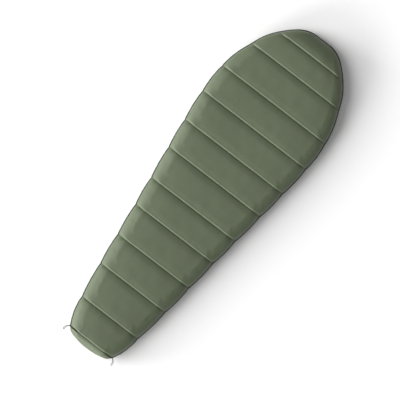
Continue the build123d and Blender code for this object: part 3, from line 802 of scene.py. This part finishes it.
# ------------------------------ bindings and stitches
PIPING_RADIUS, PIPING_OUT = 0.0033, 0.0024  # the side seam's, and its line outside the seam
FOOT_PIPING_RADIUS, FOOT_PIPING_OUT = 0.0027, 0.0010
FOOT_PIPING_BACK = 0.0012  # its line beyond the foot seam
FOOT_PIPING_LOW = 0.0026  # lowest its line comes, so that it rests on the ground
FOOT_PIPING_SIDES = 10
STITCH_LENGTH, STITCH_HALF_WIDTH, STITCH_PITCH = 0.0030, 0.0005, 0.0042
STITCH_LIFT = 0.0003


def make_side_binding():
    """Piped binding all round the side seam, from one foot corner to the other."""
    right = np.stack([BACK_SURFACE[:, -1, 0], ROWS, np.full(len(ROWS), SEAM_Z)], -1)
    path = np.vstack([right, (right * [-1, 1, 1])[::-1]])
    out = np.gradient(path, axis=0)
    out = np.cross(out / np.linalg.norm(out, axis=1, keepdims=True), [0, 0, 1.0])
    path = path + out * PIPING_OUT
    points, _ = resampled(path, 0.004)
    points[:, 2] += ripple(points, (0.05, 0.16), 6, 21) * 0.0004
    radii = PIPING_RADIUS + 0.00012 * np.sin(np.arange(len(points)) * 1.3)
    vertices, faces = tube(points, radii, 12)
    piece = new_mesh("side_binding", vertices, faces, [BINDING])
    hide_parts("side_seam_binding")
    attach(piece, "bag")


def make_foot_binding():
    """Piped binding round the foot seam, as one closed ring."""
    rim = oval(FOOT_RISE_UP, FOOT_RISE_DOWN, FOOT_HALF_WIDTH, 200)
    line_y = np.full(len(rim), FOOT_SEAM_Y - FOOT_PIPING_BACK)
    path = np.stack([rim[:, 0], line_y, SEAM_Z + rim[:, 1]], -1)
    out = np.stack([rim[:, 0] / FOOT_HALF_WIDTH, np.zeros(len(rim)), rim[:, 1] / FOOT_RISE_UP], -1)
    out /= np.linalg.norm(out, axis=1, keepdims=True)
    path += out * FOOT_PIPING_OUT
    path[:, 2] = np.maximum(path[:, 2], FOOT_PIPING_LOW)
    ahead = np.roll(path, -1, 0) - np.roll(path, 1, 0)
    ahead /= np.linalg.norm(ahead, axis=1, keepdims=True)
    angle = np.linspace(0, 2 * math.pi, FOOT_PIPING_SIDES, endpoint=False)
    side = np.array([0, 1.0, 0])
    ring = np.cross(ahead, side)[:, None] * np.cos(angle)[None, :, None]
    ring = ring + side * np.sin(angle)[None, :, None]
    points = path[:, None] + ring * FOOT_PIPING_RADIUS
    count = len(path)
    faces = grid_faces(count + 1, FOOT_PIPING_SIDES, close_columns=True)
    faces = faces % (count * FOOT_PIPING_SIDES)
    piece = new_mesh("foot_binding", points.reshape(-1, 3), faces, [BINDING])
    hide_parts("foot_seam_binding")
    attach(piece, "bag")


def stitch_row(path, normals):
    """Small rounded stitches at an even pitch along a path that lies on the fabric."""
    points, ahead = resampled(path, STITCH_PITCH)
    wanted = np.linspace(0, len(normals) - 1, len(points))
    index = np.arange(len(normals))
    up = np.stack([np.interp(wanted, index, normals[:, i]) for i in range(3)], -1)
    up /= np.linalg.norm(up, axis=1, keepdims=True)
    out = np.cross(ahead, up)
    shape = [(-0.5, 0.35), (-0.28, 1.0), (0.28, 1.0), (0.5, 0.35)]
    corners = [(1, 0), (0, 0.8), (-1, 0), (0, -0.5)]
    rings = []
    thick = STITCH_HALF_WIDTH
    for along, scale in shape:
        for side_way, up_way in corners:
            rings.append(points + ahead * along * STITCH_LENGTH
                         + out * side_way * thick * scale + up * up_way * thick * scale)
    vertices = np.stack(rings, 1)
    one = [tuple(f) for f in grid_faces(4, 4, close_columns=True)[:, ::-1]]
    one += [(0, 1, 2, 3), (15, 14, 13, 12)]
    faces = [[16 * n + i for i in face] for n in range(len(points)) for face in one]
    return vertices.reshape(-1, 3), faces


def make_seam_stitches():
    """Stitches along each cross seam, but not where the front's seam meets the face opening."""
    parts = []
    for surface, side in ((BACK_SURFACE, 1), (FRONT_SURFACE, -1)):
        normals = grid_normals(surface) * side
        for seam_y in CROSS_SEAMS[1:]:
            row = int(np.abs(ROWS - seam_y).argmin())
            line = surface[row]
            if side < 0:
                gap, _ = from_hem(line)
                if gap.min() < OPENING_EDGE + OPENING_ROLL:
                    continue
            keep = slice(2, len(line) - 2)
            up = normals[row][keep]
            parts.append(stitch_row(line[keep] + up * STITCH_LIFT, up))
    vertices, faces = joined(parts)
    piece = new_mesh("cross_seam_stitches", vertices, faces, [THREAD])
    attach(piece, "bag")


make_side_binding()
make_foot_binding()
make_seam_stitches()


# ------------------------------ hood hem and cord
def hem_path(pitch, skipped):
    """The hem's centre line round the face opening, leaving out skipped metres at the chin."""
    turn = np.linspace(-math.pi / 2, 0, 60)
    lower = np.stack([HEM_BEND * np.cos(turn), -HEM_STRAIGHT + HEM_BEND * np.sin(turn)], -1)
    upper = np.stack([HEM_BEND * np.cos(turn + math.pi / 2),
                      HEM_STRAIGHT + HEM_BEND * np.sin(turn + math.pi / 2)], -1)
    right = np.vstack([lower, upper])
    whole = np.vstack([right, (right * [-1, 1])[::-1]])
    path = np.column_stack([whole[:, 0], whole[:, 1] + FACE_Y, np.full(len(whole), HEM_Z)])
    points, _ = resampled(path, pitch)
    along = (np.arange(len(points)) + 0.5) * pitch
    return points[(along > skipped) & (along < along[-1] - skipped)]


HEM_PITCH = 0.0022
CORD_EXIT_HALF = 0.016  # half the gap in the hem at the chin, for the cord lock


def make_hem():
    path = hem_path(HEM_PITCH, CORD_EXIT_HALF)
    gathers = ripple(np.arange(len(path))[:, None] * HEM_PITCH, (0.008, 0.02), 6, 5)
    radii = HEM_RADIUS * (0.93 + 0.05 * gathers)
    vertices, faces = tube(path, radii, 16)
    piece = new_mesh("hood_hem_channel", vertices, faces, [SHELL])
    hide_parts("hood_hem")
    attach(piece, "bag")


make_hem()


# ------------------------------ zip
slide = next(j for j in frame["joints"] if j["name"] == "zip_slide")
ZIP_ALONG = -np.array(slide["axis"])
ZIP_OUT = np.array([ZIP_ALONG[1], -ZIP_ALONG[0], 0])
ZIP_UP = np.array([0, 0, 1.0])
ZIP_Z = (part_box("zip_slider")[0].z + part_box("zip_slider")[1].z) / 2
CHAIN_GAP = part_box("zip_coil_back")[0].z - ZIP_Z
TAPE_SPARE = 0.0045  # tape past each end of the coil
TAPE_HALF_WIDTH = 0.0165
TAPE_THICKNESS = 0.0009


def zip_origin():
    """Foot end of the coil, on its tapes' outer face, level with the chain, and its length."""
    co = np.array([v.co for v in frame["nodes"]["zip_coil_back"].data.vertices])
    outward = co @ ZIP_OUT
    along = co @ ZIP_ALONG
    point = ZIP_OUT * outward.min() + ZIP_ALONG * along.min() + ZIP_UP * ZIP_Z
    return point, along.max() - along.min()


ZIP_START, COIL_LENGTH = zip_origin()


def zip_points(along, up, out):
    """Points from zip coordinates: along to the head, up the side, outwards."""
    along, up, out = np.broadcast_arrays(*(np.asarray(a, float) for a in (along, up, out)))
    return (ZIP_START + along[..., None] * ZIP_ALONG + up[..., None] * ZIP_UP
            + out[..., None] * ZIP_OUT)


def make_tapes():
    """One tape above the chain and one below, each a closed sheet that ripples a little."""
    along = np.arange(-TAPE_SPARE, COIL_LENGTH + TAPE_SPARE, 0.004)
    for name, up in (("back", 1), ("front", -1)):
        across = np.linspace(CHAIN_GAP, TAPE_HALF_WIDTH, 9)
        a, u = np.meshgrid(along, across, indexing="ij")
        wave_out = ripple(a[..., None], (0.06, 0.2), 6, 61 + up) * 0.0003
        wave_out = wave_out * smooth_step((u - 0.006) / 0.006)
        front = zip_points(a, up * u, wave_out)
        behind = zip_points(a, up * u, wave_out - TAPE_THICKNESS)
        count = front.shape[0] * front.shape[1]
        faces = grid_faces(*front.shape[:2])
        if up < 0:
            faces = faces[:, ::-1]
        outside, inside = faces[:, ::-1], faces + count
        rim = rim_faces(outside, count)
        every = [tuple(f) for f in outside] + [tuple(f) for f in inside] + rim
        vertices = np.vstack([front.reshape(-1, 3), behind.reshape(-1, 3)])
        piece = new_mesh(f"tape_{name}", vertices, every, [TAPE])
        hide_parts(f"zip_tape_{name}")
        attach(piece, "bag")


TOOTH_PITCH = 0.0022
TOOTH_SIDES = 8
TOOTH_RINGS = 5
TOOTH_THICK = 0.00072


def make_coils():
    """Each turn of coil as a small rounded loop that leans over the tape's edge."""
    count = int(COIL_LENGTH / TOOTH_PITCH)
    for name, up, shift in (("back", 1, 0.0), ("front", -1, 0.5)):
        turn = np.linspace(-0.5, 0.5, TOOTH_RINGS)
        loop_up = CHAIN_GAP + 0.0016 + 0.0016 * np.sin(turn * math.pi)
        loop_out = 0.0004 + 0.0011 * (1 + 0.35 * np.cos(turn * math.pi))
        angle = np.linspace(0, 2 * math.pi, TOOTH_SIDES, endpoint=False)
        thick = TOOTH_THICK * np.sqrt(np.clip(1.05 - (turn * 1.75) ** 2, 0.15, 1))
        a = thick[:, None] * np.cos(angle)
        o = loop_out[:, None] + thick[:, None] * 1.15 * np.sin(angle)
        u = np.broadcast_to(loop_up[:, None], a.shape)
        starts = (np.arange(count) + shift) * TOOTH_PITCH + 0.001
        points = zip_points(starts[:, None, None] + a[None], up * u[None], o[None])
        size = TOOTH_RINGS * TOOTH_SIDES
        one = [list(f) for f in grid_faces(TOOTH_RINGS, TOOTH_SIDES, close_columns=True)]
        one.append(list(range(TOOTH_SIDES))[::-1])
        one.append(list(range(size - TOOTH_SIDES, size)))
        if up > 0:
            one = [f[::-1] for f in one]
        faces = [[size * n + i for i in face] for n in range(count) for face in one]
        piece = new_mesh(f"coil_{name}", points.reshape(-1, 3), faces, [COIL])
        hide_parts(f"zip_coil_{name}")
        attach(piece, "bag")


make_tapes()
make_coils()


# ------------------------------ tubes inside the bag
def stuffed_tube(name, start, end, radius, node):
    """A lining tube full of wadding, gathered a little and rounded at its ends."""
    start, end = np.array(start, float), np.array(end, float)
    length = np.linalg.norm(end - start)
    share = np.linspace(0, 1, int(length / 0.008))
    path = start + (end - start) * share[:, None]
    gathers = ripple(share[:, None] * length, (0.03, 0.09), 8, 77)
    ends = np.sqrt(np.clip(1 - (np.abs(2 * share - 1)) ** 60, 0.05, 1))
    vertices, faces = tube(path, radius * ends * (0.95 + 0.02 * gathers), 20)
    piece = new_mesh(name, vertices, faces, [LINING])
    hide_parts(node)
    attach(piece, "bag")


def make_inner_tubes():
    low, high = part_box("neck_collar")
    middle = (low + high) / 2
    stuffed_tube("neck_collar_tube", (low.x, middle.y, middle.z), (high.x, middle.y, middle.z),
                 (high.z - low.z) / 2, "neck_collar")
    co = np.array([v.co for v in frame["nodes"]["zip_draft_tube"].data.vertices])
    along, outward = co @ ZIP_ALONG, co @ ZIP_OUT
    centre = ZIP_OUT * (outward.min() + outward.max()) / 2 + ZIP_UP * ZIP_Z
    stuffed_tube("draft_tube", centre + ZIP_ALONG * along.min(), centre + ZIP_ALONG * along.max(),
                 (outward.max() - outward.min()) / 2, "zip_draft_tube")


make_inner_tubes()


# ------------------------------ hanging loops
LOOP_HALF_HEIGHT = 0.0048
LOOP_TAPE_HALF = 0.0013  # half the tape's thickness
LOOP_ROOT_HALF, LOOP_EYE_MORE = 0.0008, 0.0026  # half the legs' spread, and more at the eye
LOOP_BEND = (0.1605, 0.0108)  # a point the line passes, out from the middle and the foot seam
LOOP_TIP_INSET = (0.0042, 0.0044)  # of the line's end inside the loop's box


def make_loops():
    """Narrow tape standing on edge, out from the foot corner, round an eye and back."""
    for name, side in (("left", -1), ("right", 1)):
        low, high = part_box(f"hanging_loop_{name}")
        root = np.array([side * (FOOT_HALF_WIDTH + 0.0005), FOOT_SEAM_Y + 0.001])
        tip_x = side * (max(abs(low.x), abs(high.x)) - LOOP_TIP_INSET[0])
        tip = np.array([tip_x, low.y + LOOP_TIP_INSET[1]])
        middle = np.array([side * LOOP_BEND[0], FOOT_SEAM_Y - LOOP_BEND[1]])
        share = np.linspace(0, 1, 30)[:, None]
        line = (1 - share) ** 2 * root + 2 * share * (1 - share) * (2 * middle - (root + tip) / 2)
        line = line + share**2 * tip
        ahead = np.gradient(line, axis=0)
        ahead /= np.linalg.norm(ahead, axis=1, keepdims=True)
        out = np.stack([ahead[:, 1], -ahead[:, 0]], -1)
        part = LOOP_ROOT_HALF + LOOP_EYE_MORE * smooth_step((share - 0.45) / 0.4)
        cap_turn = np.linspace(-math.pi / 2, math.pi / 2, 9)[1:-1]
        cap = out[-1] * -np.sin(cap_turn)[:, None] + ahead[-1] * np.cos(cap_turn)[:, None]
        cap = tip + cap * part[-1]
        plan = np.vstack([line + out * part, cap, (line - out * part)[::-1]])
        step = np.gradient(plan, axis=0)
        step /= np.maximum(np.linalg.norm(step, axis=1, keepdims=True), 1e-9)
        thick = np.stack([step[:, 1], -step[:, 0]], -1) * LOOP_TAPE_HALF
        ring = []
        for offset, z in ((1, -1), (1, 0), (1, 1), (-1, 1), (-1, 0), (-1, -1)):
            xy = plan + thick * offset
            height = np.full(len(plan), SEAM_Z + z * LOOP_HALF_HEIGHT)
            ring.append(np.column_stack([xy, height]))
        points = np.stack(ring, 1)
        faces = [list(f) for f in grid_faces(len(plan), 6, close_columns=True)]
        faces += [list(range(6))[::-1], [len(plan) * 6 - 6 + i for i in range(6)]]
        if side < 0:
            faces = [f[::-1] for f in faces]
        piece = new_mesh(f"loop_tape_{name}", points.reshape(-1, 3), faces, [WEBBING], smooth=False)
        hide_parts(f"hanging_loop_{name}")
        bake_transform(piece)


make_loops()

# ------------------------------ CAD nodes that stay
KEPT = {
    "hood_drawcord": DRAWCORD,
    "cord_lock_body": LOCK,
    "cord_lock_plunger": LOCK,
    "cord_lock_spring": SPRING,
    "zip_slider": METAL,
    "zip_pull": METAL,
    "zip_top_stops": METAL,
    "zip_bottom_stop": METAL,
}


def finish_cad_nodes():
    for name, material in KEPT.items():
        node = frame["nodes"][name]
        node.data.materials.clear()
        node.data.materials.append(material)
        if name.startswith("zip"):
            bevel = node.modifiers.new("bevel", "BEVEL")
            bevel.width = 0.00035
            bevel.segments = 3
            bevel.limit_method = "ANGLE"
            bevel.angle_limit = math.radians(40)
            bevel.harden_normals = False


finish_cad_nodes()


# ------------------------------ floor and light
FLOOR_HALF = 30.0


def make_floor():
    material, nodes, links, shader = node_material("floor")
    coords = nodes.new("ShaderNodeTexCoord").outputs["Object"]
    tone = noise(nodes, links, coords, 0.7, 2.0)
    stops = [(0.3, (0.90, 0.90, 0.90)), (0.7, (0.92, 0.92, 0.92))]
    links.new(colour_ramp(nodes, links, tone, stops), shader.inputs["Base Color"])
    shader.inputs["Roughness"].default_value = 0.9
    shader.inputs["Specular IOR Level"].default_value = 0.0
    corners = [(x * FLOOR_HALF, y * FLOOR_HALF, 0) for x, y in ((-1, -1), (1, -1), (1, 1), (-1, 1))]
    floor = new_mesh("floor", corners, [(0, 1, 2, 3)], [material], smooth=False)
    floor.location.z = -0.0005


def soft_sun(name, way, spread, strength):
    """Light from this direction off the bag, as soft as a source this many degrees wide."""
    data = bpy.data.lights.new(name, "SUN")
    data.energy = strength
    data.angle = math.radians(spread)
    light = bpy.data.objects.new(name, data)
    light.rotation_mode = "QUATERNION"
    light.rotation_quaternion = (-Vector(way)).to_track_quat("-Z", "Y")
    light.location = Vector(way) * 3
    bpy.context.scene.collection.objects.link(light)


def make_world():
    """A sky that is white at the horizon and fades to a third of that higher up."""
    world = bpy.data.worlds.new("world")
    bpy.context.scene.world = world
    world.use_nodes = True
    nodes, links = world.node_tree.nodes, world.node_tree.links
    background = nodes["Background"]
    background.inputs["Color"].default_value = (1, 1, 1, 1)
    way = nodes.new("ShaderNodeTexCoord").outputs["Generated"]
    split = nodes.new("ShaderNodeSeparateXYZ")
    links.new(way, split.inputs["Vector"])
    strength = nodes.new("ShaderNodeMapRange")
    strength.inputs["From Min"].default_value = 0.03
    strength.inputs["From Max"].default_value = 0.10
    strength.inputs["To Min"].default_value = 1.0
    strength.inputs["To Max"].default_value = 0.33
    links.new(split.outputs["Z"], strength.inputs["Value"])
    links.new(strength.outputs["Result"], background.inputs["Strength"])


make_floor()
make_world()
soft_sun("side_key", (-0.85, -0.48, 0.20), 30, 2.9)
soft_sun("foot_key", (-0.25, -0.94, 0.23), 28, 3.1)
soft_sun("high_key", (-0.62, -0.35, 0.70), 46, 2.0)
bpy.context.scene.view_settings.view_transform = "Standard"
